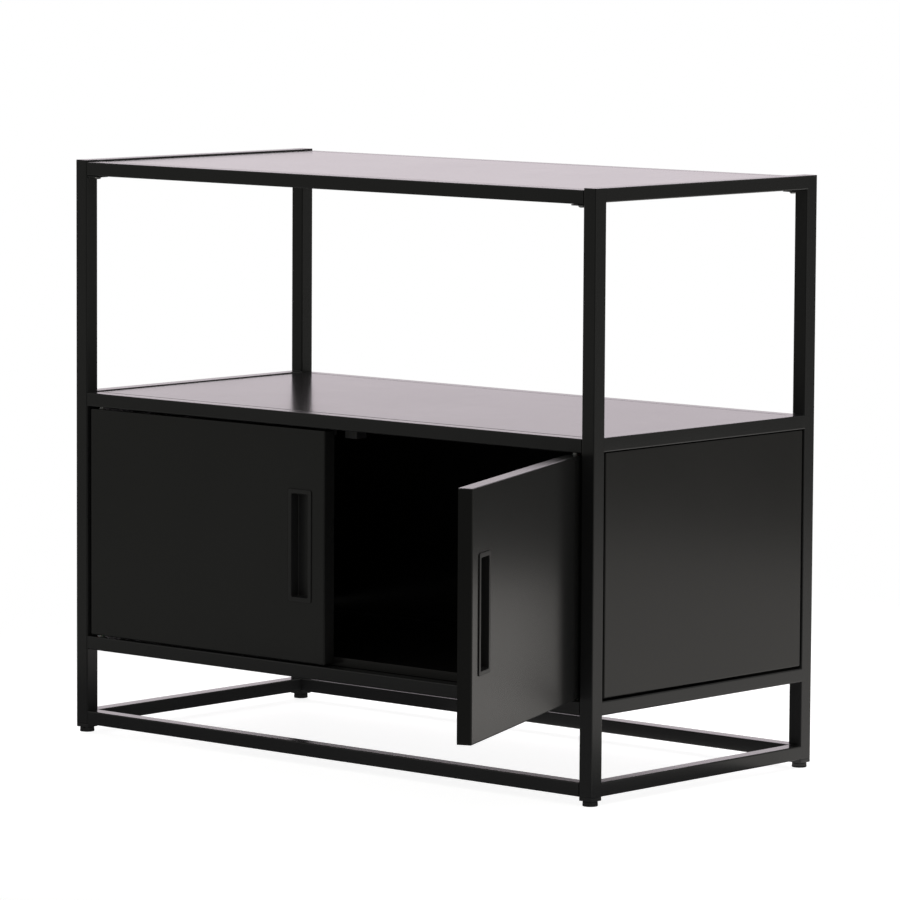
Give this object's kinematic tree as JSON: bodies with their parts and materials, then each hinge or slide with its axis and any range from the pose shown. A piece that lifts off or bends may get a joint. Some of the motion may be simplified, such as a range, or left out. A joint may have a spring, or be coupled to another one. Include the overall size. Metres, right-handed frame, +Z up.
{
  "type": "sideboard buffet",
  "caption": "Low black steel sideboard with an open display bay over a cabinet with two pivot-hung doors, flush pulls, inset side panels and levelling feet.",
  "frame": {"origin": "on the floor, at the middle of the ground plan of the whole sideboard as it stands with its right door open", "axes": "+Z up, the doors face -Y, +X to the right of somebody who faces the doors"},
  "size_m": [1.0012, 0.7952, 0.748],
  "materials": {
    "frame_black": "satin black powder coat on square steel tube",
    "panel_black": "smooth satin black powder coat on folded sheet steel",
    "door_black": "smooth satin black powder coat on folded sheet steel",
    "pull_black": "satin black powder coat on a pressed steel cup",
    "zinc": "bright zinc plate",
    "nylon": "natural off-white nylon",
    "catch_grey": "moulded dark grey plastic",
    "foot_black": "moulded black plastic"
  },
  "bodies": {
    "frame": {"post_front_left": "frame_black", "plug_front_left": "foot_black", "joint_plate_front_left": "frame_black", "post_front_right": "frame_black", "plug_front_right": "foot_black", "joint_plate_front_right": "frame_black", "post_back_left": "frame_black", "plug_back_left": "foot_black", "joint_plate_back_left": "frame_black", "post_back_right": "frame_black", "plug_back_right": "foot_black", "joint_plate_back_right": "frame_black", "side_rail_base_left": "frame_black", "side_rail_base_right": "frame_black", "front_rail_base": "frame_black", "back_rail_base": "frame_black", "side_rail_lower_left": "frame_black", "side_rail_lower_right": "frame_black", "front_rail_lower": "frame_black", "back_rail_lower": "frame_black", "side_rail_middle_left": "frame_black", "side_rail_middle_right": "frame_black", "front_rail_middle": "frame_black", "back_rail_middle": "frame_black", "side_rail_top_left": "frame_black", "side_rail_top_right": "frame_black", "front_rail_top": "frame_black", "back_rail_top": "frame_black", "door_stop": "panel_black", "top_panel": "panel_black", "shelf_panel": "panel_black", "floor_panel": "panel_black", "back_panel": "panel_black", "side_panel_left": "panel_black", "side_panel_right": "panel_black", "pin_over_left": "zinc", "pin_under_left": "zinc", "washer_under_left": "nylon", "catch_left": "catch_grey", "pin_over_right": "zinc", "pin_under_right": "zinc", "washer_under_right": "nylon", "catch_right": "catch_grey"},
    "left_door": {"door_skin_left": "door_black", "door_liner_left": "door_black", "door_pull_left": "pull_black", "strike_left": "zinc", "bush_under_left": "nylon", "bush_over_left": "nylon"},
    "right_door": {"door_skin_right": "door_black", "door_liner_right": "door_black", "door_pull_right": "pull_black", "strike_right": "zinc", "bush_under_right": "nylon", "bush_over_right": "nylon"},
    "foot_front_left": {"foot_front_left": "foot_black"},
    "foot_front_right": {"foot_front_right": "foot_black"},
    "foot_back_left": {"foot_back_left": "foot_black"},
    "foot_back_right": {"foot_back_right": "foot_black"}
  },
  "joints": [
    {"name": "left_door_hinge", "type": "hinge", "parent": "frame", "child": "left_door", "pos_m": [-0.46313, -0.02193, 0.27775], "axis": [0, 0, -1], "range_deg": [0, 116]},
    {"name": "right_door_hinge", "type": "hinge", "parent": "frame", "child": "right_door", "pos_m": [0.34187, -0.02193, 0.27775], "axis": [0, 0, 1], "range_deg": [-112, 4]},
    {"name": "foot_front_left_screw", "type": "slide", "parent": "frame", "child": "foot_front_left", "axis": [0, 0, -1], "range_m": [0, 0.01]},
    {"name": "foot_front_right_screw", "type": "slide", "parent": "frame", "child": "foot_front_right", "axis": [0, 0, -1], "range_m": [0, 0.01]},
    {"name": "foot_back_left_screw", "type": "slide", "parent": "frame", "child": "foot_back_left", "axis": [0, 0, -1], "range_m": [0, 0.01]},
    {"name": "foot_back_right_screw", "type": "slide", "parent": "frame", "child": "foot_back_right", "axis": [0, 0, -1], "range_m": [0, 0.01]}
  ]
}
